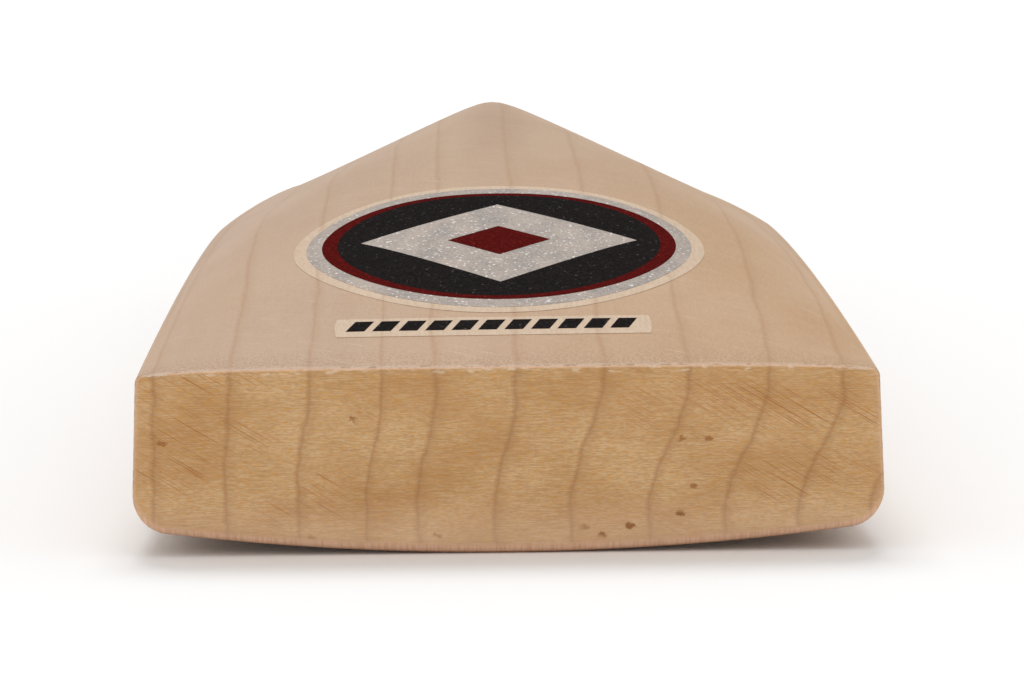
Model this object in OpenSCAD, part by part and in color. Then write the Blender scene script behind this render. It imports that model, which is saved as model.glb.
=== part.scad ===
// Cricket bat, lying on its face with the spine of the blade up.
// +Y runs from the toe to the handle's end, +Z from the face to the back, X across the blade.
// The origin is under the middle of the bat, at the height of the lowest line of the face.

/* [Overall] */
// Length of the whole bat
bat_length = 850; // [780:1:890]
// Length of the blade, toe to shoulders
blade_length = 560; // [500:1:580]
// Width of the blade
blade_width = 108; // [88:1:112]

/* [Blade thickness] */
// Height of the back at the middle of the toe
toe_middle = 26.8; // [20:0.1:32]
// Height of the back at the two ends of the toe
toe_end = 26.2; // [19:0.1:30]
// Distance from the toe to the thickest point
swell_at = 193; // [150:1:240]
// Height of the spine at the swell
swell_height = 60.5; // [48:0.5:67]
// Height of the back edges at the swell
swell_edge = 37; // [30:0.5:42]
// Height of the spine at the shoulders
neck_height = 43; // [41:0.5:47]
// Height of the back edges at the shoulders
shoulder_edge = 30; // [26:0.5:34]
// Half width of the spine's rounded top, as a share of the half width of the blade
ridge_round = 0.07; // [0.03:0.01:0.3]
// How flat the middle of the back is at the toe: 1 is a plain ridge, 6 is nearly flat
toe_dome = 6; // [2:0.5:8]

/* [Blade outline] */
// Radius of the face across its width
face_radius = 380; // [250:5:800]
// Radius of the corner between the face and an edge
corner_r = 5.5; // [2:0.5:8]
// Radius of the corner between an edge and the back
arris_r = 1.2; // [0.5:0.1:2.5]
// How much narrower the back is than the face, at each edge
edge_lean = 0.6; // [0:0.1:2]
// Length over which the shoulders round in
shoulder_run = 42; // [25:1:60]
// Wood left beside the splice at the top of the shoulders
shoulder_lip = 2.5; // [1.5:0.5:5]

/* [Splice] */
// Depth of the V splice below the shoulders
splice_depth = 135; // [90:1:160]
// Width of the V splice at the shoulders
splice_top_w = 34; // [28:1:38]
// Width of the V splice at its tip
splice_tip_w = 4; // [3:0.5:8]

/* [Handle] */
// Diameter of the bare cane handle
cane_d = 30; // [26:0.5:32]
// Height of the handle's axis
handle_z = 21; // [19.5:0.5:22.5]
// Length over which the square neck turns round
neck_run = 40; // [25:1:60]
// Width of the middle row of cane strips
middle_cane_w = 10; // [6:0.5:12]
// Thickness of each rubber insert
insert_t = 1.5; // [0.8:0.1:2.5]

/* [Binding and grip] */
// Thickness of the twine binding
twine_t = 0.6; // [0.4:0.1:1]
// Bare cane between the shoulders and the binding
twine_gap = 10; // [4:1:20]
// Thickness of the rubber grip
grip_t = 1.6; // [1:0.1:2.5]
// Binding left showing below the grip
twine_show = 26; // [10:1:60]
// Cane left showing past the end of the grip
butt_show = 1; // [0.5:0.5:5]

/* [Decals] */
// Distance from the toe to the middle of the oval badge
badge_at = 50.5; // [40:0.5:70]
// Offset of the badge across the blade
badge_side = -0.6; // [-5:0.1:5]
// Length of the oval badge
badge_l = 58; // [30:1:60]
// Width of the oval badge
badge_w = 60; // [30:1:70]
// Clear film round the badge
film_margin = 2; // [1:0.5:5]
// Distance from the toe to the middle of the small strip
strip_at = 14.5; // [10:0.5:16]
// Offset of the strip across the blade
strip_side = -1.9; // [-5:0.1:5]
// Length of the small strip, across the blade
strip_w = 46.5; // [20:0.5:60]
// Width of the small strip, along the blade
strip_l = 6.5; // [4:0.5:8]
// Thickness of each decal
decal_t = 0.2; // [0.15:0.05:0.5]

/* [Hidden] */
toe_y = -bat_length / 2;
neck_y = toe_y + blade_length;
butt_y = toe_y + bat_length;
splice_y = neck_y - splice_depth;
round_y = neck_y + neck_run;
half_w = blade_width / 2;
neck_half = splice_top_w / 2 + shoulder_lip;
shoulder_at = blade_length - shoulder_run;
face_clear = 0.6;          // the neck stands this far off the floor
neck_step = 0.2;           // the neck is this much smaller than the wedge and the bar it joins
swell_power = 2;           // how fast the spine rises from the toe
edge_power = 1.6;          // how fast the edges rise from the toe
dome_power = 1.8;          // how soon the dome at the toe turns into a ridge
fall_power = 1.6;          // how late the back falls away towards the shoulders
cane_rows = 4;
cane_columns = 3;
row_t = (cane_d - (cane_rows - 1) * insert_t) / cane_rows;
far = 100;                 // past every surface of the handle, for cutting blocks
twine_r = cane_d / 2 + twine_t;
grip_r = twine_r + grip_t;
grip_y = round_y + twine_show;

face_steps = 6;
corner_steps = 3;
flank_steps = 8;
flank_spread = 1.5;        // points of the back crowd towards the ridge
swell_steps = 16;
middle_steps = 14;
splice_steps = 6;
shoulder_steps = 9;
neck_steps = 8;
neck_sides = 32;
oval_sides = 56;

CANES = [for (row = [1 : cane_rows]) for (col = [1 : cane_columns]) str("cane_strip_", row, "_", col)];
INSERTS = [for (row = [1 : cane_rows - 1]) str("rubber_insert_", row)];

function mix(a, b, t) = a + (b - a) * t;

// Height of the face above its lowest line, at x
function face_z(x) = face_radius - sqrt(face_radius * face_radius - x * x);

// Share of the way to the swell, and of the way from the swell to the shoulders, s from the toe
function rise(s) = min(s / swell_at, 1);
function fall(s) = max((s - swell_at) / (blade_length - swell_at), 0);

function back_z(s, toe, swell, neck, power) =
    s < swell_at
        ? mix(toe, swell, 1 - pow(1 - rise(s), power))
        : mix(swell, neck, pow(fall(s), fall_power));
function spine_z(s) = back_z(s, toe_middle, swell_height, neck_height, swell_power);
function edge_z(s) = back_z(s, toe_end, swell_edge, shoulder_edge, edge_power);

// Half width of the blade, with shoulders that round in to the neck
function width_at(s) =
    let (w = max((s - shoulder_at) / shoulder_run, 0))
    mix(neck_half, half_w, sqrt(max(1 - w * w, 0)));

// Share of the spine's height at t of the way from the spine to the edge. The section is a
// dome at the toe and turns into a ridge with a rounded top and straight flanks at the swell.
function crown(t, s) =
    let (
        k = ridge_round * rise(s),
        eased = (sqrt(t * t + k * k) - k) / (sqrt(1 + k * k) - k),
        power = mix(toe_dome, 1, 1 - pow(1 - rise(s), dome_power))
    )
    1 - pow(eased, power);

// Right half of the section at s, from the middle of the face round to the spine
function half_section(s, raise) =
    let (
        w = width_at(s),
        flat_w = w - corner_r,
        top_w = w - edge_lean - arris_r,
        low = edge_z(s) + raise,
        high = spine_z(s) + raise
    )
    concat(
        [for (i = [0 : face_steps - 1]) let (x = flat_w * i / (face_steps - 1)) [x, face_z(x)]],
        [for (i = [1 : corner_steps])
            let (a = 90 * i / corner_steps)
            [flat_w + corner_r * sin(a), face_z(flat_w) + corner_r * (1 - cos(a))]],
        [[top_w + arris_r, low - arris_r]],
        [[top_w + arris_r * sin(45), low - arris_r * (1 - cos(45))]],
        [for (i = [0 : flank_steps])
            let (t = pow(1 - i / flank_steps, flank_spread))
            [top_w * t, mix(low, high, crown(t, s))]]
    );

// Whole section, counter-clockwise seen from the toe's end
function section(s, raise) =
    let (right = half_section(s, raise), n = len(right))
    concat(right, [for (i = [n - 2 : -1 : 1]) [-right[i][0], right[i][1]]]);

// Stations along the blade. The splice and the shoulders share theirs with the cane wedge.
swell_stations = [for (i = [0 : swell_steps - 1]) swell_at * pow(i / swell_steps, 1.2)];
splice_s = blade_length - splice_depth;
middle_stations = [for (i = [0 : middle_steps - 1]) mix(swell_at, splice_s, i / middle_steps)];
splice_stations = [for (i = [0 : splice_steps - 1]) mix(splice_s, shoulder_at, i / splice_steps)];
shoulder_stations = [for (i = [0 : shoulder_steps]) shoulder_at + shoulder_run * sin(90 * i / shoulder_steps)];
wedge_stations = concat(splice_stations, shoulder_stations);
blade_stations = concat(swell_stations, middle_stations, wedge_stations);

// A closed skin over rings of points, each ring with the same number of points
module skin(rings) {
    n = len(rings[0]);
    last = len(rings) - 1;
    sides = [for (r = [0 : last - 1]) for (i = [0 : n - 1])
        let (a = r * n + i, b = r * n + (i + 1) % n)
        for (f = [[a, b, b + n], [a, b + n, a + n]]) f];
    start = [[for (i = [n - 1 : -1 : 0]) i]];
    end = [[for (i = [0 : n - 1]) last * n + i]];
    polyhedron([for (ring = rings) for (p = ring) p], concat(start, sides, end));
}

// The outer form of the blade over the stations given, with its back raised
module blade_form(stations, raise = 0) {
    skin([for (s = stations) [for (p = section(s, raise)) [p[0], toe_y + s, p[1]]]]);
}

// The V cut out of the blade, seen from above, over all heights
module splice_v() {
    translate([0, 0, -far])
        linear_extrude(height = 2 * far)
            polygon([
                [-splice_tip_w / 2, splice_y],
                [splice_tip_w / 2, splice_y],
                [splice_top_w / 2, neck_y],
                [-splice_top_w / 2, neck_y]
            ]);
}

module blade() {
    color([0.79, 0.68, 0.56])
        difference() {
            blade_form(blade_stations);
            splice_v();
        }
}

// Ring of the neck at t of the way from the shoulders to the round handle, grown outwards
function neck_ring(t, grow) =
    let (
        square = mix(5, 2, t),
        low = mix(face_clear, handle_z - cane_d / 2 + neck_step, t),
        high = mix(neck_height - face_clear, handle_z + cane_d / 2 - neck_step, t),
        half_x = mix(splice_top_w, cane_d, t) / 2 - neck_step + grow,
        half_z = (high - low) / 2 + grow
    )
    [for (i = [0 : neck_sides - 1])
        let (a = 360 * i / neck_sides, c = cos(a), s = sin(a))
        [
            half_x * sign(c) * pow(abs(c), 2 / square),
            neck_y + neck_run * t,
            (low + high) / 2 + half_z * sign(s) * pow(abs(s), 2 / square)
        ]];

module neck_form(grow = 0, from = 0) {
    skin([for (i = [from : neck_steps]) neck_ring(i / neck_steps, grow)]);
}

// A round bar on the handle's axis
module handle_bar(d, y0, y1) {
    translate([0, y0, handle_z])
        rotate([-90, 0, 0])
            cylinder(h = y1 - y0, d = d, $fn = 96);
}

// The glued handle as one form: wedge in the splice, neck and round bar
module handle_form() {
    intersection() {
        blade_form(wedge_stations);
        splice_v();
    }
    neck_form();
    handle_bar(cane_d, round_y, butt_y);
}

// Height of the underside of a row of canes; the outer rows have no outer limit
function row_low(row) = row == 1 ? -far : handle_z - cane_d / 2 + (row - 1) * (row_t + insert_t);
function row_high(row) = row == cane_rows ? far : handle_z - cane_d / 2 + row * row_t + (row - 1) * insert_t;
function column_low(col) = col == 1 ? -far : (col - 2.5) * middle_cane_w;
function column_high(col) = col == cane_columns ? far : (col - 1.5) * middle_cane_w;

module block(x0, x1, z0, z1) {
    translate([x0, splice_y - 1, z0])
        cube([x1 - x0, butt_y - splice_y + 2, z1 - z0]);
}

module cane_strip(row, col) {
    color([0.80, 0.66, 0.42])
        intersection() {
            handle_form();
            block(column_low(col), column_high(col), row_low(row), row_high(row));
        }
}

module rubber_insert(row) {
    color([0.12, 0.11, 0.10])
        intersection() {
            handle_form();
            block(-far, far, row_high(row), row_low(row + 1));
        }
}

module twine_binding() {
    first = ceil(neck_steps * twine_gap / neck_run);
    color([0.62, 0.60, 0.52]) {
        difference() {
            neck_form(twine_t, first);
            neck_form(0, first);
        }
        difference() {
            handle_bar(2 * twine_r, round_y, butt_y - butt_show);
            handle_bar(cane_d, round_y - 1, butt_y);
        }
    }
}

module rubber_grip() {
    color([0.13, 0.13, 0.14])
        difference() {
            handle_bar(2 * grip_r, grip_y, butt_y - butt_show);
            handle_bar(2 * twine_r, grip_y - 1, butt_y);
        }
}

// The part of a thin layer on the back of the blade that lies inside its 2D children
module back_layer(stations, low, high) {
    difference() {
        intersection() {
            blade_form(stations, high);
            linear_extrude(height = 2 * far) children();
        }
        blade_form(stations, low);
    }
}

module oval(length, width) {
    polygon([for (i = [0 : oval_sides - 1])
        let (a = 360 * i / oval_sides)
        [badge_side + width / 2 * cos(a), toe_y + badge_at + length / 2 * sin(a)]]);
}

module badge_label() {
    color([0.30, 0.27, 0.27])
        back_layer(swell_stations, 0, decal_t)
            oval(badge_l, badge_w);
}

// The clear film covers the label and meets the wood all round it
module badge_film() {
    color([0.86, 0.80, 0.70])
        difference() {
            back_layer(swell_stations, 0, 2 * decal_t)
                oval(badge_l + 2 * film_margin, badge_w + 2 * film_margin);
            badge_label();
        }
}

module strip_label() {
    color([0.84, 0.78, 0.67])
        back_layer(swell_stations, 0, decal_t)
            translate([strip_side, toe_y + strip_at])
                square([strip_w, strip_l], center = true);
}

blade();
for (row = [1 : cane_rows])
    for (col = [1 : cane_columns])
        cane_strip(row, col);
for (row = [1 : cane_rows - 1])
    rubber_insert(row);
twine_binding();
rubber_grip();
badge_label();
badge_film();
strip_label();
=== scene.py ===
import bmesh
import bpy
import math
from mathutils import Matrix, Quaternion, Vector


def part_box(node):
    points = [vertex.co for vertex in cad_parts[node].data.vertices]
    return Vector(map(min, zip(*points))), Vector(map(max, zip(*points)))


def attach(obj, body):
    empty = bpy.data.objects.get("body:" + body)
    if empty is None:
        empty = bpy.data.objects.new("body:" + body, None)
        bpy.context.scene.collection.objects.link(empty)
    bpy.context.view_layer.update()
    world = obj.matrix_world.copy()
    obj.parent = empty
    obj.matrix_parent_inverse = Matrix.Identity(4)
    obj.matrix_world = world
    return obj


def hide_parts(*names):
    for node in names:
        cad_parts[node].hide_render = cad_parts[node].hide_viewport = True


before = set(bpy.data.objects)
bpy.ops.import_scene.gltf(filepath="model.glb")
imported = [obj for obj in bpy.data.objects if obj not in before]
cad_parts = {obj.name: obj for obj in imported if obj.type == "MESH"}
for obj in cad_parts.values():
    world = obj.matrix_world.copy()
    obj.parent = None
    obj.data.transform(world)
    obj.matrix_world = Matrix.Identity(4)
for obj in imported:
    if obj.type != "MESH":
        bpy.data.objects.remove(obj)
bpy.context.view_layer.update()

mm = 0.001  # lengths in the dictionaries below are millimetres unless a note says otherwise
mostCuts = 100  # the most that one subdivide makes


def toLinear(hexColour):
    channels = [int(hexColour[i:i + 2], 16) / 255 for i in (1, 3, 5)]
    return [c / 12.92 if c <= 0.04045 else ((c + 0.055) / 1.055) ** 2.4 for c in channels] + [1.0]


def mix(a, b, t):
    return a + (b - a) * t


def addNode(tree, kind, links=None, **settings):
    node = tree.nodes.new(kind)
    for name, value in settings.items():
        setattr(node, name, value)
    for key, value in (links or {}).items():
        if isinstance(value, bpy.types.NodeSocket):
            tree.links.new(value, node.inputs[key])
        else:
            node.inputs[key].default_value = value
    return node


def newMaterial(name, **shader):
    material = bpy.data.materials.new(name)
    material.use_nodes = True
    tree = material.node_tree
    principled = tree.nodes["Principled BSDF"]
    for key, value in shader.items():
        principled.inputs[key.replace("_", " ")].default_value = value
    return material, tree, principled


# small helpers for edit mode

def freshObject(name):
    piece = bpy.context.object
    piece.name = name
    piece.data.name = name
    return piece


def startEdit(piece):
    bpy.ops.object.select_all(action="DESELECT")
    piece.select_set(True)
    bpy.context.view_layer.objects.active = piece
    bpy.ops.object.mode_set(mode="EDIT")
    bpy.ops.mesh.select_all(action="DESELECT")


def selectWhere(piece, kind, test):
    mesh = bmesh.from_edit_mesh(piece.data)
    for item in getattr(mesh, kind):
        item.select_set(bool(test(item)))
    mesh.select_flush_mode()
    bmesh.update_edit_mesh(piece.data)


def shapeVertices(piece, place):
    mesh = bmesh.from_edit_mesh(piece.data)
    for vertex in mesh.verts:
        vertex.co = place(vertex.co.copy())
    bmesh.update_edit_mesh(piece.data)


def subdivideAlong(piece, axis, cuts):
    def along(edge):
        run = (edge.verts[1].co - edge.verts[0].co).normalized()
        return abs(run[axis]) > 0.99
    bpy.ops.mesh.select_mode(type="EDGE")
    selectWhere(piece, "edges", along)
    bpy.ops.mesh.subdivide(number_cuts=cuts)


def applyModifier(piece, name, kind, **settings):
    modifier = piece.modifiers.new(name, kind)
    for key, value in settings.items():
        setattr(modifier, key, value)
    bpy.ops.object.select_all(action="DESELECT")
    piece.select_set(True)
    bpy.context.view_layer.objects.active = piece
    bpy.ops.object.modifier_apply(modifier=name)


def finishPiece(piece, slot, *replaced, angle=35):
    bpy.ops.object.select_all(action="DESELECT")
    piece.select_set(True)
    bpy.context.view_layer.objects.active = piece
    bpy.ops.object.transform_apply(location=True, rotation=True, scale=True)
    bpy.ops.object.shade_smooth_by_angle(angle=math.radians(angle))
    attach(piece, "root")
    if replaced:
        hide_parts(*replaced)
    return piece


# blade

bladeLow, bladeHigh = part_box("blade")
toeY = bladeLow[1] / mm
bladeLength = (bladeHigh[1] - bladeLow[1]) / mm
halfWidth = (bladeHigh[0] - bladeLow[0]) / mm / 2

blade = {
    "toeMiddle": 26.8, "toeEnd": 26.2,          # height of the back at the toe
    "swellAt": 193, "swellHeight": bladeHigh[2] / mm, "swellEdge": 37,
    "neckHeight": 43, "shoulderEdge": 30,
    "swellPower": 2, "edgePower": 1.6, "domePower": 1.8, "fallPower": 1.6,
    "ridgeRound": 0.07, "toeDome": 6,
    "faceRadius": 380, "cornerR": 5.5, "arrisR": 1.2, "edgeLean": 0.6,
    "shoulderRun": 42, "shoulderLip": 2.5,
    "spliceDepth": 135, "spliceTop": 34, "spliceTip": 4, "cutterPast": 5, "cutterHalfHigh": 100,
    "toeWear": {"back": 0.35, "side": 1.1, "face": 2.3},   # radius of the worn toe edges
    "columns": 72, "cornerRows": 10, "wallRows": 8, "arrisRows": 5,
    "wearSteps": 7, "swellSteps": 56, "restSteps": 60, "shoulderSteps": 20,
}


def rise(s):
    return min(s / blade["swellAt"], 1)


def backZ(s, toe, swell, neck, power):
    if s < blade["swellAt"]:
        return mix(toe, swell, 1 - (1 - rise(s)) ** power)
    fall = (s - blade["swellAt"]) / (bladeLength - blade["swellAt"])
    return mix(swell, neck, min(fall, 1) ** blade["fallPower"])


def crown(t, s):
    k = blade["ridgeRound"] * rise(s) + 1e-6
    eased = (math.hypot(t, k) - k) / (math.hypot(1, k) - k)
    power = mix(blade["toeDome"], 1, 1 - (1 - rise(s)) ** blade["domePower"])
    return 1 - eased ** power


def widthAt(s):
    w = max((s - (bladeLength - blade["shoulderRun"])) / blade["shoulderRun"], 0)
    neckHalf = blade["spliceTop"] / 2 + blade["shoulderLip"]
    return mix(neckHalf, halfWidth, math.sqrt(max(1 - w * w, 0)))


def faceZ(x):
    return blade["faceRadius"] - math.sqrt(blade["faceRadius"] ** 2 - x * x)


def wornBy(s, radius):
    return radius - math.sqrt(radius ** 2 - (radius - s) ** 2) if s < radius else 0


def bladeSide(s, row):
    width = widthAt(s)
    flat = width - blade["cornerR"]
    low = backZ(s, blade["toeEnd"], blade["swellEdge"], blade["shoulderEdge"], blade["edgePower"])
    lean = blade["edgeLean"]
    cornerTop = faceZ(flat) + blade["cornerR"]
    wallTop = low - blade["arrisR"]
    if row <= blade["cornerRows"]:
        angle = math.pi / 2 * row / blade["cornerRows"]
        corner = blade["cornerR"]
        return flat + corner * math.sin(angle), faceZ(flat) + corner * (1 - math.cos(angle))
    row -= blade["cornerRows"]
    if row <= blade["wallRows"]:
        t = row / blade["wallRows"]
        return width - lean * t, mix(cornerTop, wallTop, t)
    angle = math.pi / 2 * (row - blade["wallRows"]) / blade["arrisRows"]
    arris = blade["arrisR"]
    return width - lean - arris * (1 - math.cos(angle)), wallTop + arris * math.sin(angle)


sideRows = blade["cornerRows"] + blade["wallRows"] + blade["arrisRows"]


def bladeStations():
    wear = max(blade["toeWear"].values())
    stations = [wear * (1 - math.cos(math.pi / 2 * i / blade["wearSteps"]))
                for i in range(blade["wearSteps"])]
    swell = [mix(wear, blade["swellAt"], i / blade["swellSteps"]) for i in range(blade["swellSteps"])]
    shoulder = bladeLength - blade["shoulderRun"]
    rest = [mix(blade["swellAt"], shoulder, i / blade["restSteps"]) for i in range(blade["restSteps"])]
    turn = [shoulder + blade["shoulderRun"] * math.sin(math.pi / 2 * i / blade["shoulderSteps"])
            for i in range(blade["shoulderSteps"] + 1)]
    return stations + swell + rest + turn


stations = bladeStations()


def bladePoint(u, row, s):
    # a point of the section at s: u runs across from -1 to 1, row runs up the edge
    width = widthAt(s)
    spine = backZ(s, blade["toeMiddle"], blade["swellHeight"], blade["neckHeight"], blade["swellPower"])
    edge = backZ(s, blade["toeEnd"], blade["swellEdge"], blade["shoulderEdge"], blade["edgePower"])
    flat = width - blade["cornerR"]
    top = width - blade["edgeLean"] - blade["arrisR"]
    w = row / sideRows
    sideX, sideZ = bladeSide(s, row)
    faceX, topX = u * flat, u * top
    backHeight = mix(edge, spine, crown(abs(u), s))
    straightX = u * mix(flat, top, w)
    straightZ = mix(faceZ(flat), edge, w)
    x = mix(faceX, topX, w) + u * sideX - straightX
    z = mix(faceZ(faceX), backHeight, w) + sideZ - straightZ
    wear = blade["toeWear"]
    x *= 1 - wornBy(s, wear["side"]) / width
    up = min(max(z / backHeight, 0), 1)
    z += wornBy(s, wear["face"]) * (1 - up) ** 2 - wornBy(s, wear["back"]) * up ** 2
    return Vector((x, toeY + s, z)) * mm


def makeBlade():
    bpy.ops.object.select_all(action="DESELECT")
    bpy.ops.mesh.primitive_cube_add(size=2, location=(0, 0, 0))
    piece = freshObject("blade_wood")
    startEdit(piece)
    subdivideAlong(piece, 0, blade["columns"] - 1)
    subdivideAlong(piece, 2, sideRows - 1)
    subdivideAlong(piece, 1, min(len(stations) - 2, mostCuts))

    def place(co):
        # there are fewer rows than stations, so some stations are passed over
        station = stations[round((co.y + 1) / 2 * (len(stations) - 1))]
        return bladePoint(co.x, round((co.z + 1) / 2 * sideRows), station)
    shapeVertices(piece, place)
    bpy.ops.mesh.select_all(action="SELECT")
    bpy.ops.mesh.normals_make_consistent(inside=False)
    bpy.ops.object.mode_set(mode="OBJECT")
    return piece


def makeSplicePrism():
    neckY = toeY + bladeLength
    tipY = neckY - blade["spliceDepth"]
    bpy.ops.object.select_all(action="DESELECT")
    bpy.ops.mesh.primitive_cube_add(size=2, location=(0, 0, 0))
    prism = freshObject("splice_cutter")
    startEdit(prism)

    def place(co):
        # the cutter runs a little past the shoulders at the same taper
        past = blade["cutterPast"] if co.y > 0 else 0
        taper = (blade["spliceTop"] - blade["spliceTip"]) / blade["spliceDepth"]
        half = (blade["spliceTop"] + taper * past if co.y > 0 else blade["spliceTip"]) / 2
        y = neckY + past if co.y > 0 else tipY
        return Vector((co.x * half, y, co.z * blade["cutterHalfHigh"])) * mm
    shapeVertices(prism, place)
    bpy.ops.object.mode_set(mode="OBJECT")
    return prism


bladePiece = makeBlade()
splicePrism = makeSplicePrism()
applyModifier(bladePiece, "splice", "BOOLEAN", operation="DIFFERENCE", object=splicePrism, solver="MANIFOLD")
bpy.data.objects.remove(splicePrism)
finishPiece(bladePiece, "willow", "blade", angle=32)
print("blade:", len(bladePiece.data.polygons), "faces")


# willow

grain = {
    "ringGap": 10.3, "firstRing": -51.05,       # across the toe
    "leanLow": 6, "leanHigh": 24,              # heights between which the rings lean over
    "leanAtMiddle": 3.6, "leanGrowth": 0.065,  # how far they lean, and how that grows across
    "ringLine": 0.6, "ringBand": 0.2,
    "widerFrom": -22, "widestAt": -14, "evenAt": 31, "unevenBy": 0.35,   # rings are wider on one side
    "driftBy": 0.14, "wobbleBy": 0.05,         # in parts of a gap
    "dentCell": 3.4, "dentShare": 0.07,        # single dents anywhere on the toe
    "knockCell": 4.2, "knockShare": 0.95,      # a group of knocks near the face
    "knocksAt": (21, 3.9), "knocksHalf": (12, 2.6),
    "pitEdge": 0.7, "pitPull": 1.5,            # how finely and how far the rim of a dent is torn
}


def opposite(tree, value):
    return addNode(tree, "ShaderNodeMath", {0: 1.0, 1: value}, operation="SUBTRACT").outputs[0]


def byHeight(tree, axes, start, end):
    # 0 up to start millimetres above the floor, 1 past end
    share = addNode(tree, "ShaderNodeMapRange",
                    {"Value": axes.outputs["Z"], "From Min": start * mm, "From Max": end * mm},
                    interpolation_type="SMOOTHSTEP")
    return share.outputs[0]


def growthRings(tree):
    # dark line and soft band of each yearly ring, the same on the toe and along the blade
    coords = addNode(tree, "ShaderNodeTexCoord").outputs["Object"]
    axes = addNode(tree, "ShaderNodeSeparateXYZ", {"Vector": coords})
    long = addNode(tree, "ShaderNodeMapping", {"Vector": coords, "Scale": (40, 3, 60)})
    wander = addNode(tree, "ShaderNodeTexNoise",
                     {"Vector": long.outputs["Vector"], "Scale": 1.0, "Detail": 2.0})
    lean = byHeight(tree, axes, grain["leanLow"], grain["leanHigh"])
    amount = addNode(tree, "ShaderNodeMath",
                     {0: axes.outputs["X"], 1: grain["leanGrowth"], 2: grain["leanAtMiddle"] * mm},
                     operation="MULTIPLY_ADD")
    shift = addNode(tree, "ShaderNodeMath", {0: amount.outputs[0], 1: lean}, operation="MULTIPLY")
    across = addNode(tree, "ShaderNodeMath", {0: axes.outputs["X"], 1: shift.outputs[0]},
                     operation="SUBTRACT")
    count = addNode(tree, "ShaderNodeMapRange",
                    {"Value": across.outputs[0], "From Min": grain["firstRing"] * mm,
                     "From Max": (grain["firstRing"] + grain["ringGap"]) * mm}, clamp=False)
    wide = addNode(tree, "ShaderNodeMapRange",
                   {"Value": across.outputs[0], "From Min": grain["widerFrom"] * mm,
                    "From Max": grain["widestAt"] * mm, "To Max": grain["unevenBy"]},
                   interpolation_type="SMOOTHSTEP")
    narrow = addNode(tree, "ShaderNodeMapRange",
                     {"Value": across.outputs[0], "From Min": grain["widestAt"] * mm,
                      "From Max": grain["evenAt"] * mm, "To Max": -grain["unevenBy"]})
    uneven = addNode(tree, "ShaderNodeMath", {0: wide.outputs[0], 1: narrow.outputs[0]}, operation="ADD")
    drift = addNode(tree, "ShaderNodeMapRange",
                    {"Value": wander.outputs[0], "To Min": -grain["driftBy"], "To Max": grain["driftBy"]})
    smooth = addNode(tree, "ShaderNodeMath", {0: count.outputs[0], 1: uneven.outputs[0]}, operation="ADD")
    drifting = addNode(tree, "ShaderNodeMath", {0: smooth.outputs[0], 1: drift.outputs[0]}, operation="ADD")
    close = addNode(tree, "ShaderNodeMapping", {"Vector": coords, "Scale": (450, 20, 450)})
    fine = addNode(tree, "ShaderNodeTexNoise",
                   {"Vector": close.outputs["Vector"], "Scale": 1.0, "Detail": 3.0})
    wobble = addNode(tree, "ShaderNodeMapRange",
                     {"Value": fine.outputs[0], "To Min": -grain["wobbleBy"], "To Max": grain["wobbleBy"]})
    wobbly = addNode(tree, "ShaderNodeMath", {0: drifting.outputs[0], 1: wobble.outputs[0]}, operation="ADD")
    part = addNode(tree, "ShaderNodeMath", {0: wobbly.outputs[0]}, operation="FRACT")
    turned = opposite(tree, part.outputs[0])
    near = addNode(tree, "ShaderNodeMath", {0: part.outputs[0], 1: turned}, operation="MINIMUM")
    line = addNode(tree, "ShaderNodeMapRange",
                   {"Value": near.outputs[0], "From Max": grain["ringLine"] / grain["ringGap"],
                    "To Min": 1.0, "To Max": 0.0}, interpolation_type="SMOOTHSTEP")
    band = addNode(tree, "ShaderNodeMapRange",
                   {"Value": part.outputs[0], "From Max": grain["ringBand"], "To Min": 1.0, "To Max": 0.0},
                   interpolation_type="SMOOTHSTEP")
    return coords, axes, line.outputs[0], band.outputs[0]


def streaks(tree, coords, size, rotation=(0, 0, 0), detail=3.0, contrast=(0.35, 0.65)):
    # noise stretched to cells of the given size in millimetres
    scale = tuple(1 / (length * mm) for length in size)
    placed = addNode(tree, "ShaderNodeMapping", {"Vector": coords, "Rotation": rotation})
    placed = addNode(tree, "ShaderNodeMapping", {"Vector": placed.outputs["Vector"], "Scale": scale})
    noise = addNode(tree, "ShaderNodeTexNoise",
                    {"Vector": placed.outputs["Vector"], "Scale": 1.0, "Detail": detail})
    spread = addNode(tree, "ShaderNodeMapRange",
                     {"Value": noise.outputs[0], "From Min": contrast[0], "From Max": contrast[1]})
    return spread.outputs[0]


def tint(tree, factor, base, hexColour, strength=1.0):
    # turns base, a colour or a link, towards the hex colour
    if strength != 1.0:
        factor = addNode(tree, "ShaderNodeMath", {0: factor, 1: strength}, operation="MULTIPLY").outputs[0]
    mixed = addNode(tree, "ShaderNodeMix", {"Factor": factor, 6: base, 7: toLinear(hexColour)},
                    data_type="RGBA")
    return mixed.outputs[2]


def bump(tree, principled, height, distance, strength=1.0):
    node = addNode(tree, "ShaderNodeBump",
                   {"Height": height, "Distance": distance * mm, "Strength": strength})
    tree.links.new(node.outputs[0], principled.inputs["Normal"])


def fromToe(tree, axes, start, end):
    # 0 up to start millimetres from the toe, 1 past end
    share = addNode(tree, "ShaderNodeMapRange",
                    {"Value": axes.outputs["Y"], "From Min": (toeY + start) * mm,
                     "From Max": (toeY + end) * mm},
                    interpolation_type="SMOOTHSTEP")
    return share.outputs[0]


def both(tree, first, second):
    return addNode(tree, "ShaderNodeMath", {0: first, 1: second}, operation="MULTIPLY").outputs[0]


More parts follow.
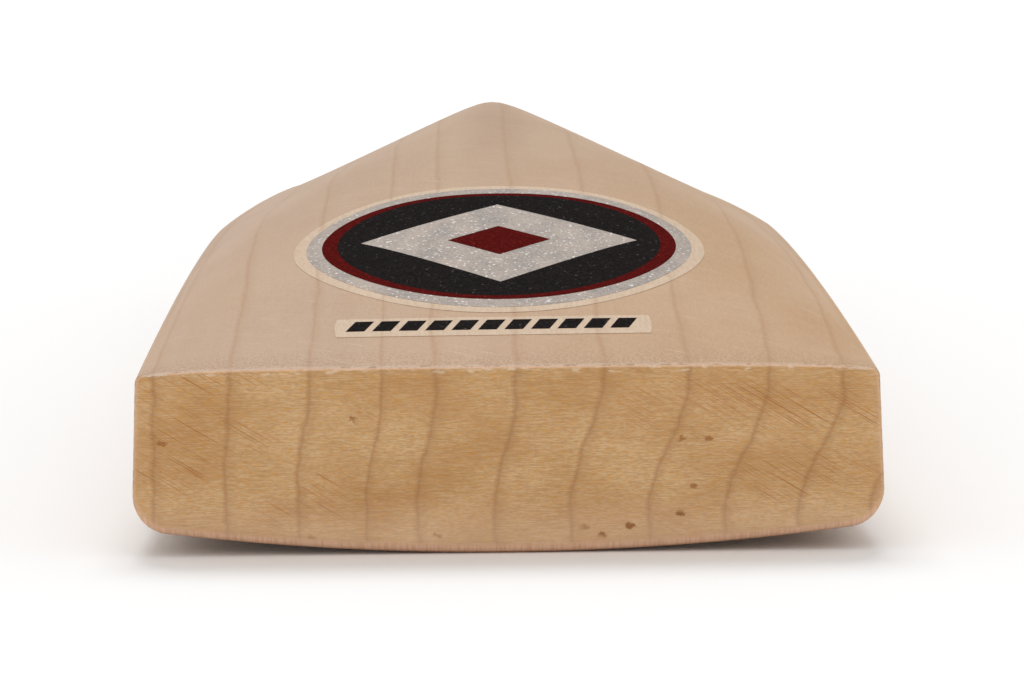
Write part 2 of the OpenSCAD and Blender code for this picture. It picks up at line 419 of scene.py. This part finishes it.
def pits(tree, coords, size, share):
    # small ragged dents, wider than high: a share of cells of the given size holds one
    scale = 1 / (size * mm)
    ragged = addNode(tree, "ShaderNodeTexNoise",
                     {"Vector": coords, "Scale": 1 / (grain["pitEdge"] * mm), "Detail": 3.0})
    pulled = addNode(tree, "ShaderNodeVectorMath", {0: ragged.outputs["Color"], 3: grain["pitPull"] * mm},
                     operation="SCALE")
    moved = addNode(tree, "ShaderNodeVectorMath", {0: coords, 1: pulled.outputs[0]}, operation="ADD")
    flat = addNode(tree, "ShaderNodeMapping",
                   {"Vector": moved.outputs[0], "Rotation": (math.radians(-90), 0, 0), "Scale": (0.6, 1, 1)})
    near = addNode(tree, "ShaderNodeTexVoronoi", {"Vector": flat.outputs["Vector"], "Scale": scale},
                   voronoi_dimensions="2D")
    dot = addNode(tree, "ShaderNodeMapRange",
                  {"Value": near.outputs["Distance"], "From Min": 0.06, "From Max": 0.15,
                   "To Min": 1.0, "To Max": 0.0},
                  interpolation_type="SMOOTHSTEP").outputs[0]
    pick = addNode(tree, "ShaderNodeSeparateColor", {"Color": near.outputs["Color"]}).outputs[1]
    chosen = addNode(tree, "ShaderNodeMath", {0: pick, 1: share}, operation="LESS_THAN").outputs[0]
    return both(tree, dot, chosen)


def spot(tree, coords, centre, half):
    # 1 inside an oval on the toe, 0 outside it; x and z of its centre and its half sizes in millimetres
    away = addNode(tree, "ShaderNodeMapping",
                   {"Vector": coords, "Location": (-centre[0] / half[0], 0, -centre[1] / half[1]),
                    "Scale": (1 / (half[0] * mm), 0, 1 / (half[1] * mm))})
    distance = addNode(tree, "ShaderNodeVectorMath", {0: away.outputs["Vector"]}, operation="LENGTH")
    inside = addNode(tree, "ShaderNodeMapRange",
                     {"Value": distance.outputs["Value"], "From Min": 0.7, "From Max": 1.0,
                      "To Min": 1.0, "To Max": 0.0},
                     interpolation_type="SMOOTHSTEP")
    return inside.outputs[0]


def nearSides(tree, axes, inner, outer):
    # 0 in the middle of the blade, 1 at its two edges
    away = addNode(tree, "ShaderNodeMath", {0: axes.outputs["X"]}, operation="ABSOLUTE")
    share = addNode(tree, "ShaderNodeMapRange",
                    {"Value": away.outputs[0], "From Min": inner * mm, "From Max": outer * mm},
                    interpolation_type="SMOOTHSTEP")
    return share.outputs[0]


def sawnEndGrain():
    # willow end grain, sawn and left bare: dull tan, fine pores, rays across the rings
    material, tree, principled = newMaterial("willow end grain, sawn", Roughness=0.66, Specular_IOR_Level=0.3)
    coords, axes, line, band = growthRings(tree)
    rays = streaks(tree, coords, (2.8, 9, 0.17), contrast=(0.38, 0.64))
    pores = streaks(tree, coords, (0.8, 3, 0.16), detail=2.0, contrast=(0.45, 0.6))
    cloud = streaks(tree, coords, (12, 30, 7), detail=4.0, contrast=(0.32, 0.68))
    warm = streaks(tree, coords, (0.9, 3, 0.24), detail=2.0, contrast=(0.54, 0.66))
    warmPatch = streaks(tree, coords, (16, 60, 10), detail=2.0, contrast=(0.42, 0.62))
    saw = streaks(tree, coords, (12, 30, 0.15), rotation=(0, math.radians(-31), 0), contrast=(0.54, 0.66))
    sawPatch = streaks(tree, coords, (17, 60, 9), detail=1.0, contrast=(0.46, 0.6))
    sides = nearSides(tree, axes, 8, 34)
    dents = pits(tree, coords, grain["dentCell"], grain["dentShare"])
    knocks = both(tree, pits(tree, coords, grain["knockCell"], grain["knockShare"]),
                  spot(tree, coords, grain["knocksAt"], grain["knocksHalf"]))
    rim = byHeight(tree, axes, blade["toeEnd"] - 0.3, blade["toeEnd"] + 0.1)
    splinters = streaks(tree, coords, (2.2, 60, 0.6), contrast=(0.55, 0.62))
    frays = streaks(tree, coords, (0.35, 12, 6), contrast=(0.4, 0.62))
    colour = tint(tree, cloud, toLinear("#B48A57"), "#CAA577")
    colour = tint(tree, rays, colour, "#DAB890", strength=0.5)
    colour = tint(tree, pores, colour, "#A87A48", strength=0.42)
    colour = tint(tree, warm, colour, "#CB923F", strength=0.5)
    colour = tint(tree, warmPatch, colour, "#AE7C44", strength=0.3)
    colour = tint(tree, band, colour, "#A47B50", strength=0.35)
    colour = tint(tree, line, colour, "#8F5C34", strength=0.3)
    colour = tint(tree, both(tree, both(tree, saw, sawPatch), sides), colour, "#9E6124", strength=0.85)
    colour = tint(tree, dents, colour, "#8E5319", strength=0.7)
    colour = tint(tree, both(tree, rim, splinters), colour, "#E6D3BC", strength=0.4)
    colour = tint(tree, nearSides(tree, axes, 51.2, 53.6), colour, "#C39A74", strength=0.2)
    # painted light: the toe is painted paler in its lowest 10 mm, most below 1 mm
    low = opposite(tree, byHeight(tree, axes, 1, 10))
    colour = tint(tree, low, colour, "#E4C2A6", strength=0.34)
    colour = tint(tree, knocks, colour, "#8A5622", strength=0.9)
    # painted highlight: the worn rounding round the toe is painted pale, less so at the two sides, with
    # darker frayed streaks in it
    sideEdges = nearSides(tree, axes, 52, 53.4)
    lessAtSides = addNode(tree, "ShaderNodeMapRange", {"Value": sideEdges, "To Min": 1.0, "To Max": 0.35})
    paintedHighlightBand = both(tree, fromToe(tree, axes, 0.02, 0.5), lessAtSides.outputs[0])
    colour = tint(tree, paintedHighlightBand, colour, "#DDB599", strength=0.85)
    colour = tint(tree, both(tree, paintedHighlightBand, frays), colour, "#B07C50", strength=0.35)
    # painted shade: the worn rounding under the toe, which faces down, is painted darker from 0.9 mm past the
    # toe
    colour = tint(tree, fromToe(tree, axes, 0.9, 2.0), colour, "#A66C42", strength=0.6)
    tree.links.new(colour, principled.inputs["Base Color"])
    bump(tree, principled, rays, 0.05, 0.5)
    return material


def pressedWillow():
    # willow along the grain, pressed, sanded and oiled: pale, satin, faint lines of the rings
    material, tree, principled = newMaterial("willow, sanded and oiled",
                                             Roughness=0.55, Specular_IOR_Level=0.16)
    coords, axes, line, band = growthRings(tree)
    fibres = streaks(tree, coords, (0.45, 35, 0.45), contrast=(0.3, 0.7))
    broad = streaks(tree, coords, (4, 140, 4), contrast=(0.3, 0.7))
    cloud = streaks(tree, coords, (16, 26, 16), detail=3.0, contrast=(0.35, 0.68))
    grainy = streaks(tree, coords, (0.35, 0.5, 0.35), detail=2.0, contrast=(0.4, 0.62))
    byToe = fromToe(tree, axes, 0.5, 9)
    soft = addNode(tree, "ShaderNodeMapRange", {"Value": byToe, "To Min": 0.5, "To Max": 0.14}).outputs[0]
    chips = streaks(tree, coords, (1.8, 1.2, 1.2), detail=3.0, contrast=(0.54, 0.6))
    rim = opposite(tree, fromToe(tree, axes, 0.4, 1.7))
    scuffs = streaks(tree, coords, (9, 0.4, 9), rotation=(0, 0, math.radians(24)), contrast=(0.62, 0.72))
    ridgeShade = opposite(tree, nearSides(tree, axes, 1, 9))
    yellow = addNode(tree, "ShaderNodeMapRange",
                     {"Value": axes.outputs["X"], "From Min": -0.03, "From Max": 0.05}).outputs[0]
    colour = tint(tree, yellow, toLinear("#BA9D85"), "#BB9468")
    colour = tint(tree, broad, colour, "#B48F6C", strength=0.35)
    colour = tint(tree, cloud, colour, "#CBAE93", strength=0.35)
    colour = tint(tree, fibres, colour, "#C8A98A", strength=0.3)
    colour = tint(tree, both(tree, grainy, soft), colour, "#9C785B")
    colour = tint(tree, band, colour, "#AA855E", strength=0.22)
    colour = tint(tree, line, colour, "#A06F40", strength=0.24)
    # painted shade: a darker stripe down the spine, from 60 to 150 mm past the toe
    colour = tint(tree, both(tree, ridgeShade, fromToe(tree, axes, 60, 150)), colour, "#9E7A5C", strength=0.35)
    colour = tint(tree, fromToe(tree, axes, 25, 150), colour, "#A08975", strength=0.26)
    colour = tint(tree, scuffs, colour, "#D8C2AC", strength=0.3)
    colour = tint(tree, rim, colour, "#E2CFBC", strength=0.32)
    colour = tint(tree, both(tree, rim, chips), colour, "#8A5C34", strength=0.6)
    tree.links.new(colour, principled.inputs["Base Color"])
    bump(tree, principled, grainy, 0.03, 0.4)
    return material


def paintBlade():
    bladePiece.data.materials.clear()
    bladePiece.data.materials.append(pressedWillow())
    bladePiece.data.materials.append(sawnEndGrain())
    faceWear = blade["toeWear"]["face"] * mm
    for face in bladePiece.data.polygons:
        depth = face.center.y - toeY * mm
        if face.normal.y < -0.5 or (face.normal.z < -0.3 and depth < faceWear):
            face.material_index = 1


paintBlade()


# decals on the back

decal = {
    "at": 50.5, "side": -0.6, "halfWidth": 30, "halfLength": 29, "film": 2,
    "rim": (27.6, 26), "field": (25.2, 24.6), "lozenge": (21.5, 19), "lozengeInner": (8, 7),
    "stripAt": 14.5, "stripSide": -1.9, "stripHalf": (23.25, 3.25), "stripTurn": 0.6,
    "bars": 11, "barsHalf": (21.3, 1.75), "barGap": 0.3, "barSlant": 0.7, "barsSide": -2.1, "barsAt": 14.9,
    "cells": 44,
}


def backSurface(x, s):
    spine = backZ(s, blade["toeMiddle"], blade["swellHeight"], blade["neckHeight"], blade["swellPower"])
    edge = backZ(s, blade["toeEnd"], blade["swellEdge"], blade["shoulderEdge"], blade["edgePower"])
    top = widthAt(s) - blade["edgeLean"] - blade["arrisR"]
    return mix(edge, spine, crown(min(abs(x) / top, 1), s))


def ontoBack(x, s, lift):
    return Vector((x, toeY + s, backSurface(x, s) + lift)) * mm


def oval(u, v):
    return u * math.sqrt(1 - v * v / 2), v * math.sqrt(1 - u * u / 2)


def lozenge(u, v):
    return (u - v) / 2, (u + v) / 2


def roundedStrip(u, v):
    # a rectangle whose short ends bow out a little, as a cut corner would
    return u * (1 - 0.012 * v * v), v


def layFlat(piece, outline, half, centre, lift, thick, turn=0.0):
    # takes a flat piece of size 2 by 2, gives it its outline, lays it on the wood and thickens it
    startEdit(piece)
    turned = math.radians(turn)

    def place(co):
        u, v = outline(co.x, co.y)
        x, y = u * half[0], v * half[1]
        return ontoBack(centre[0] + x * math.cos(turned) - y * math.sin(turned),
                        centre[1] + x * math.sin(turned) + y * math.cos(turned), lift)
    shapeVertices(piece, place)
    bpy.ops.object.mode_set(mode="OBJECT")
    applyModifier(piece, "thickness", "SOLIDIFY", thickness=thick * mm, offset=1)
    return piece


def makeSheet(name, outline, half, centre, lift, thick, turn=0.0, rows=None):
    bpy.ops.object.select_all(action="DESELECT")
    cells = decal["cells"]
    bpy.ops.mesh.primitive_grid_add(x_subdivisions=cells, y_subdivisions=rows or cells, size=2)
    return layFlat(freshObject(name), outline, half, centre, lift, thick, turn)


def makeRing(name, outer, inner, centre, lift, thick):
    # a grid wrapped round the oval: its rows run from the inner edge to the outer one
    bpy.ops.object.select_all(action="DESELECT")
    bpy.ops.mesh.primitive_grid_add(x_subdivisions=160, y_subdivisions=3, size=2)
    piece = freshObject(name)
    startEdit(piece)

    def wrap(co):
        angle = math.pi * co.x
        share = (co.y + 1) / 2
        return Vector((-mix(inner[0], outer[0], share) / outer[0] * math.cos(angle),
                       mix(inner[1], outer[1], share) / outer[1] * math.sin(angle), 0))
    shapeVertices(piece, wrap)
    bpy.ops.mesh.select_all(action="SELECT")
    bpy.ops.mesh.remove_doubles(threshold=0.0001)
    bpy.ops.mesh.normals_make_consistent(inside=False)
    bpy.ops.object.mode_set(mode="OBJECT")
    up = sum(face.normal.z for face in piece.data.polygons)
    if up < 0:
        piece.data.flip_normals()
    return layFlat(piece, lambda u, v: (u, v), outer, centre, lift, thick)


def makeBars():
    # a row of slanted bars stands in for the line of print
    bpy.ops.object.select_all(action="DESELECT")
    bpy.ops.mesh.primitive_plane_add(size=2)
    piece = freshObject("strip_print")
    pitch = 2 / decal["bars"]
    piece.scale = (pitch * (1 - decal["barGap"]) / 2, 1, 1)
    bpy.ops.object.transform_apply(location=False, rotation=False, scale=True)
    applyModifier(piece, "row", "ARRAY", count=decal["bars"], use_relative_offset=False,
                  use_constant_offset=True, constant_offset_displace=(pitch, 0, 0))
    startEdit(piece)
    bpy.ops.mesh.select_all(action="SELECT")
    bpy.ops.mesh.subdivide(number_cuts=4)
    bpy.ops.object.mode_set(mode="OBJECT")

    def slant(u, v):
        return u - 1 + pitch / 2 + decal["barSlant"] * v / decal["barsHalf"][0], v
    centre = (decal["barsSide"], decal["barsAt"])
    return layFlat(piece, slant, decal["barsHalf"], centre, 0.08, 0.03, decal["stripTurn"])


badgeCentre = (decal["side"], decal["at"])
silverHalf = (decal["halfWidth"], decal["halfLength"])
filmHalf = (decal["halfWidth"] + decal["film"], decal["halfLength"] + decal["film"])
clearRing = makeRing("badge_clear_edge", filmHalf, silverHalf, badgeCentre, 0.01, 0.05)
silverOval = makeSheet("badge_silver", oval, silverHalf, badgeCentre, 0.02, 0.08)
maroonRim = makeRing("badge_rim", decal["rim"], decal["field"], badgeCentre, 0.11, 0.03)
blackField = makeSheet("badge_field", oval, decal["field"], badgeCentre, 0.11, 0.03)
silverLozenge = makeSheet("badge_lozenge", lozenge, decal["lozenge"], badgeCentre, 0.145, 0.02)
maroonLozenge = makeSheet("badge_lozenge_inner", lozenge, decal["lozengeInner"], badgeCentre, 0.17, 0.02)
stripCentre = (decal["stripSide"], decal["stripAt"])
stripSheet = makeSheet("strip_clear", roundedStrip, decal["stripHalf"], stripCentre, 0.01, 0.06,
                       decal["stripTurn"], rows=8)
stripBars = makeBars()
for piece in (silverOval, maroonRim, blackField, silverLozenge, maroonLozenge):
    finishPiece(piece, "badge_foil", "badge_label", angle=40)
finishPiece(clearRing, "clear_film", "badge_film", angle=40)
for piece in (stripSheet, stripBars):
    finishPiece(piece, "strip_film", "strip_label", angle=40)
print("decals: laid on the back")


# decal materials

def speckle(tree, coords, size, low, high):
    # random value of each flake, spread over the range given
    scale = 1 / (size * mm)
    cells = addNode(tree, "ShaderNodeTexVoronoi", {"Vector": coords, "Scale": scale})
    value = addNode(tree, "ShaderNodeSeparateColor", {"Color": cells.outputs["Color"]})
    spread = addNode(tree, "ShaderNodeMapRange",
                     {"Value": value.outputs[0], "From Min": low, "From Max": high})
    return spread.outputs[0]


def silverGlitter():
    # silver foil printed with fine glitter under a clear film
    material, tree, principled = newMaterial("silver glitter foil",
                                             Metallic=0.1, Roughness=0.55, Specular_IOR_Level=0.2)
    coords = addNode(tree, "ShaderNodeTexCoord").outputs["Object"]
    flakes = speckle(tree, coords, 0.24, 0.0, 1.0)
    paintedGlints = speckle(tree, coords, 0.3, 0.94, 0.99)
    mottle = streaks(tree, coords, (5, 8, 5), contrast=(0.35, 0.65))
    colour = tint(tree, flakes, toLinear("#7C736D"), "#A2988F")
    colour = tint(tree, mottle, colour, "#C9B5A4", strength=0.35)
    # painted glints: the brightest flakes are painted white
    colour = tint(tree, paintedGlints, colour, "#FFFFFF", strength=0.6)
    tree.links.new(colour, principled.inputs["Base Color"])
    bump(tree, principled, flakes, 0.02, 0.6)
    return material


def printedInk(name, dark, light, flake):
    # ink over the foil: the flakes show through a little
    material, tree, principled = newMaterial(name, Roughness=0.7, Specular_IOR_Level=0.0)
    coords = addNode(tree, "ShaderNodeTexCoord").outputs["Object"]
    flakes = speckle(tree, coords, 0.24, 0.35, 1.0)
    paintedGlints = speckle(tree, coords, 0.3, 0.97, 1.0)
    colour = tint(tree, flakes, toLinear(dark), light)
    # painted glints: a few flakes are painted in the flake colour
    colour = tint(tree, paintedGlints, colour, flake, strength=0.5)
    tree.links.new(colour, principled.inputs["Base Color"])
    bump(tree, principled, flakes, 0.01, 0.4)
    return material


def clearFilm():
    # clear film on the wood: the grain shows through, paler and smoother
    material, tree, principled = newMaterial("clear film over willow", Roughness=0.5, Specular_IOR_Level=0.14)
    coords, _, line, band = growthRings(tree)
    fibres = streaks(tree, coords, (0.45, 35, 0.45), contrast=(0.3, 0.7))
    colour = tint(tree, fibres, toLinear("#C4A88C"), "#CFB79D")
    colour = tint(tree, band, colour, "#B4936F", strength=0.2)
    colour = tint(tree, line, colour, "#9F7852", strength=0.25)
    tree.links.new(colour, principled.inputs["Base Color"])
    bump(tree, principled, fibres, 0.01, 0.3)
    return material


def paint(material, *painted):
    for piece in painted:
        piece.data.materials.clear()
        piece.data.materials.append(material)


paint(silverGlitter(), silverOval, silverLozenge)
paint(printedInk("black ink on foil", "#1E1B1B", "#2C2828", "#6A6462"), blackField, stripBars)
paint(printedInk("maroon ink on foil", "#4C1413", "#641B18", "#9A3A30"), maroonRim, maroonLozenge)
paint(clearFilm(), clearRing, stripSheet)
print("decals: painted")


# handle

handle = {
    "axisZ": 21, "caneR": 15, "middleCane": 10, "neckRun": 40, "faceClear": 0.6, "neckStep": 0.2,
    "twineFrom": 145.3, "twineTo": 206, "twinePitch": 0.75, "twineHalf": (0.36, 0.29), "turnSteps": 44,
    "gripFrom": 201, "gripTo": 424, "gripInner": 15.7, "gripBase": 16.4, "gripRib": 0.78,
    "gripRimRun": 1.6, "gripRimDrop": 0.45,             # rounded rims of the sleeve
    "ribPitch": 6, "chevrons": 4, "chevronDepth": 7, "ribsStart": 5, "ribsFade": 4,
    "aroundSteps": 128,
}


def neckPoint(y, angle, grow):
    # a point of the neck grown outwards, square at the shoulders and round past the neck
    t = min(max((y - (toeY + bladeLength)) / handle["neckRun"], 0), 1)
    if t >= 1:
        radius = handle["caneR"] + grow
        return Vector((radius * math.cos(angle), y, handle["axisZ"] + radius * math.sin(angle))) * mm
    square = mix(5, 2, t)
    low = mix(handle["faceClear"], handle["axisZ"] - handle["caneR"] + handle["neckStep"], t)
    high = mix(blade["neckHeight"] - handle["faceClear"],
               handle["axisZ"] + handle["caneR"] - handle["neckStep"], t)
    halfX = mix(blade["spliceTop"], 2 * handle["caneR"], t) / 2 - handle["neckStep"] + grow
    halfZ = (high - low) / 2 + grow
    c, d = math.cos(angle), math.sin(angle)
    return Vector((halfX * math.copysign(abs(c) ** (2 / square), c), y,
                   (low + high) / 2 + halfZ * math.copysign(abs(d) ** (2 / square), d))) * mm


def makeTwine():
    # one turn's section, swept round and round by the screw, then fitted to the neck
    bpy.ops.object.select_all(action="DESELECT")
    bpy.ops.mesh.primitive_circle_add(vertices=8, radius=1)
    piece = freshObject("twine_winding")
    startEdit(piece)
    along, out = handle["twineHalf"]
    start = Vector((handle["caneR"] + out + 0.02, handle["twineFrom"] + along, 0))
    shapeVertices(piece, lambda co: (start + Vector((co.x * out, co.y * along, 0))) * mm)
    bpy.ops.object.mode_set(mode="OBJECT")
    turns = int((handle["twineTo"] - handle["twineFrom"] - 2 * along) / handle["twinePitch"])
    applyModifier(piece, "winding", "SCREW", axis="Y", angle=2 * math.pi, iterations=turns,
                  screw_offset=handle["twinePitch"] * mm, steps=handle["turnSteps"],
                  render_steps=handle["turnSteps"], use_merge_vertices=False)
    startEdit(piece)

    def fit(co):
        radius = math.hypot(co.x, co.z) / mm
        return neckPoint(co.y / mm, math.atan2(co.z, co.x), radius - handle["caneR"])
    shapeVertices(piece, fit)
    bpy.ops.mesh.select_all(action="DESELECT")
    bpy.ops.mesh.select_mode(type="EDGE")
    bpy.ops.mesh.select_non_manifold()
    bpy.ops.mesh.fill_holes(sides=0)
    bpy.ops.mesh.select_all(action="SELECT")
    bpy.ops.mesh.normals_make_consistent(inside=False)
    bpy.ops.object.mode_set(mode="OBJECT")
    return piece


def ribHeight(angle, y):
    # chevron ribs: rows that run up and down in a zigzag round the handle
    across = (angle / (2 * math.pi) * handle["chevrons"]) % 1
    zigzag = abs(2 * across - 1) * handle["chevronDepth"]
    phase = ((y + zigzag) / handle["ribPitch"]) % 1
    wave = 0.5 - 0.5 * math.cos(2 * math.pi * phase)
    fromEnd = min(y - handle["gripFrom"], handle["gripTo"] - y)
    fade = min(max((fromEnd - handle["ribsStart"]) / handle["ribsFade"], 0), 1)
    return handle["gripRib"] * wave ** 0.6 * fade


def makeGrip():
    bpy.ops.object.select_all(action="DESELECT")
    bpy.ops.mesh.primitive_cylinder_add(vertices=handle["aroundSteps"], radius=1, depth=2,
                                        end_fill_type="NOTHING")
    piece = freshObject("grip_sleeve")
    startEdit(piece)
    subdivideAlong(piece, 2, mostCuts)

    def place(co):
        angle = math.atan2(co.y, co.x)
        y = mix(handle["gripFrom"], handle["gripTo"], (co.z + 1) / 2)
        fromEnd = min(y - handle["gripFrom"], handle["gripTo"] - y)
        roll = math.sqrt(max(1 - (1 - min(fromEnd / handle["gripRimRun"], 1)) ** 2, 0)) - 1
        radius = handle["gripBase"] + ribHeight(angle, y) + handle["gripRimDrop"] * roll
        return Vector((radius * math.cos(angle), y, handle["axisZ"] + radius * math.sin(angle))) * mm
    shapeVertices(piece, place)
    bpy.ops.mesh.select_all(action="SELECT")
    bpy.ops.mesh.normals_make_consistent(inside=False)

    # the bore: both rims extruded inwards and joined
    bpy.ops.mesh.select_mode(type="EDGE")
    for end in (handle["gripFrom"], handle["gripTo"]):
        bpy.ops.mesh.select_all(action="DESELECT")
        selectWhere(piece, "edges", lambda edge: all(abs(v.co.y / mm - end) < 0.01 for v in edge.verts))
        bpy.ops.mesh.extrude_region_move()
        shrink = handle["gripInner"] / (handle["gripBase"] - handle["gripRimDrop"])
        bpy.ops.transform.resize(value=(shrink, 1, shrink),
                                 center_override=(0, end * mm, handle["axisZ"] * mm))
    bpy.ops.mesh.select_all(action="DESELECT")
    bpy.ops.mesh.select_non_manifold()
    bpy.ops.mesh.bridge_edge_loops()
    bpy.ops.mesh.select_all(action="SELECT")
    bpy.ops.mesh.normals_make_consistent(inside=False)
    bpy.ops.object.mode_set(mode="OBJECT")
    return piece


twine = finishPiece(makeTwine(), "twine", "twine_binding", angle=50)
grip = finishPiece(makeGrip(), "grip_rubber", "rubber_grip", angle=50)
print("handle:", len(twine.data.polygons), "faces of twine,", len(grip.data.polygons), "of grip")


def caneStrip():
    # split cane: straw colour, dark pores that run along it, dots on its end, thin glue lines
    material, tree, principled = newMaterial("cane, sanded and varnished",
                                             Roughness=0.45, Specular_IOR_Level=0.35)
    coords = addNode(tree, "ShaderNodeTexCoord").outputs["Object"]
    fibres = streaks(tree, coords, (0.5, 60, 0.5), contrast=(0.35, 0.65))
    pores = streaks(tree, coords, (0.28, 90, 0.28), detail=1.0, contrast=(0.58, 0.7))
    cloud = streaks(tree, coords, (9, 90, 9), contrast=(0.3, 0.7))
    colour = tint(tree, cloud, toLinear("#C39D63"), "#D0AE78")
    colour = tint(tree, fibres, colour, "#B88F55", strength=0.4)
    colour = tint(tree, pores, colour, "#7A5831", strength=0.6)
    axes = addNode(tree, "ShaderNodeSeparateXYZ", {"Vector": coords})
    joint = handle["middleCane"] / 2
    outer = nearSides(tree, axes, joint - 0.02, joint + 0.02)
    colour = tint(tree, outer, colour, "#B98D4E", strength=0.22)
    before = nearSides(tree, axes, joint - 0.3, joint)
    past = nearSides(tree, axes, joint, joint + 0.3)
    glue = addNode(tree, "ShaderNodeMath", {0: before, 1: past}, operation="SUBTRACT").outputs[0]
    colour = tint(tree, glue, colour, "#6B4A24", strength=0.7)
    tree.links.new(colour, principled.inputs["Base Color"])
    bump(tree, principled, pores, -0.04, 0.6)
    return material


def insertRubber():
    # thin sheet rubber glued between the cane
    material, tree, principled = newMaterial("rubber, dark sheet", Roughness=0.8, Specular_IOR_Level=0.3)
    coords = addNode(tree, "ShaderNodeTexCoord").outputs["Object"]
    grit = streaks(tree, coords, (0.4, 0.4, 0.4), contrast=(0.35, 0.65))
    colour = tint(tree, grit, toLinear("#241F1D"), "#332D29")
    tree.links.new(colour, principled.inputs["Base Color"])
    bump(tree, principled, grit, 0.02, 0.5)
    return material


def waxedTwine():
    # waxed linen twine: twisted fibres that slant across each turn
    material, tree, principled = newMaterial("linen twine, waxed", Roughness=0.7, Specular_IOR_Level=0.3)
    coords = addNode(tree, "ShaderNodeTexCoord").outputs["Object"]
    twist = streaks(tree, coords, (0.5, 0.16, 0.5), rotation=(0.5, 0, 0.5), contrast=(0.35, 0.65))
    dirt = streaks(tree, coords, (6, 5, 6), contrast=(0.35, 0.7))
    colour = tint(tree, twist, toLinear("#8E8368"), "#B9AE92")
    colour = tint(tree, dirt, colour, "#86795C", strength=0.4)
    tree.links.new(colour, principled.inputs["Base Color"])
    bump(tree, principled, twist, 0.05, 0.7)
    return material


def gripRubber():
    # soft moulded rubber: matt, with a fine pebbled skin, paler on the tops of the ribs
    material, tree, principled = newMaterial("rubber grip, moulded matt",
                                             Roughness=0.5, Specular_IOR_Level=0.45)
    coords = addNode(tree, "ShaderNodeTexCoord").outputs["Object"]
    pebble = streaks(tree, coords, (0.35, 0.35, 0.35), detail=2.0, contrast=(0.35, 0.65))
    dust = streaks(tree, coords, (7, 20, 7), contrast=(0.4, 0.7))
    colour = tint(tree, pebble, toLinear("#17181B"), "#212327")
    colour = tint(tree, dust, colour, "#2E3033", strength=0.35)
    spoke = addNode(tree, "ShaderNodeMapping",
                    {"Vector": coords, "Location": (0, 0, -handle["axisZ"] * mm), "Scale": (1, 0, 1)})
    radius = addNode(tree, "ShaderNodeVectorMath", {0: spoke.outputs["Vector"]}, operation="LENGTH")
    top = addNode(tree, "ShaderNodeMapRange",
                  {"Value": radius.outputs["Value"], "From Min": (handle["gripBase"] + 0.3) * mm,
                   "From Max": (handle["gripBase"] + handle["gripRib"]) * mm},
                  interpolation_type="SMOOTHSTEP")
    colour = tint(tree, top.outputs[0], colour, "#45474B", strength=0.6)
    tree.links.new(colour, principled.inputs["Base Color"])
    bump(tree, principled, pebble, 0.03, 0.5)
    return material


caneMaterial = caneStrip()
insertMaterial = insertRubber()
for name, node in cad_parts.items():
    if name.startswith("cane_strip"):
        paint(caneMaterial, node)
    if name.startswith("rubber_insert"):
        paint(insertMaterial, node)
paint(waxedTwine(), twine)
paint(gripRubber(), grip)
print("handle: painted")


# studio

studio = {
    "cameraAt": (-6.16, -955.07, 75.73), "aimAt": (0.64, -425, 30.62), "lens": 130.96, "sensor": 36,
    "roll": -0.0095,                                             # radians
    "world": 0.75, "keyFrom": (-0.05, 0.66, 1.0), "keyPower": 1.14, "keySpread": 30,
    "backdropAt": 9, "backdropHigh": 2.4, "backdropGlow": 1.0,   # metres
}


def makeFloor():
    bpy.ops.object.select_all(action="DESELECT")
    bpy.ops.mesh.primitive_plane_add(size=60)
    floor = freshObject("floor")
    material, _, principled = newMaterial("floor, matt white", Roughness=0.9, Specular_IOR_Level=0.0)
    principled.inputs["Base Color"].default_value = toLinear("#FAFAFA")
    floor.data.materials.append(material)


def makeBackdrop():
    # an evenly lit low white wall all round
    bpy.ops.object.select_all(action="DESELECT")
    bpy.ops.mesh.primitive_cylinder_add(vertices=64, radius=studio["backdropAt"],
                                        depth=studio["backdropHigh"], end_fill_type="NOTHING")
    wall = freshObject("backdrop")
    material, _, principled = newMaterial("backdrop, lit white", Roughness=1.0, Specular_IOR_Level=0.0)
    principled.inputs["Emission Color"].default_value = (1, 1, 1, 1)
    principled.inputs["Emission Strength"].default_value = studio["backdropGlow"]
    wall.data.materials.append(material)


def makeStudio():
    makeFloor()
    makeBackdrop()
    world = bpy.data.worlds.new("studio")
    world.use_nodes = True
    world.node_tree.nodes["Background"].inputs["Color"].default_value = (1, 1, 1, 1)
    world.node_tree.nodes["Background"].inputs["Strength"].default_value = studio["world"]
    bpy.context.scene.world = world
    sun = bpy.data.lights.new("key", "SUN")
    sun.energy = studio["keyPower"]
    sun.angle = math.radians(studio["keySpread"])
    key = bpy.data.objects.new("key", sun)
    bpy.context.scene.collection.objects.link(key)
    key.rotation_euler = (-Vector(studio["keyFrom"])).to_track_quat("-Z", "Y").to_euler()
    data = bpy.data.cameras.new("camera")
    data.lens = studio["lens"]
    data.sensor_width = studio["sensor"]
    data.clip_start = 0.01
    camera = bpy.data.objects.new("camera", data)
    bpy.context.scene.collection.objects.link(camera)
    camera.location = Vector(studio["cameraAt"]) * mm
    toAim = Vector(studio["aimAt"]) * mm - camera.location
    level = toAim.to_track_quat("-Z", "Y")
    camera.rotation_euler = (level @ Quaternion((0, 0, 1), studio["roll"])).to_euler()
    bpy.context.scene.camera = camera
    bpy.context.scene.view_settings.view_transform = "Standard"


makeStudio()
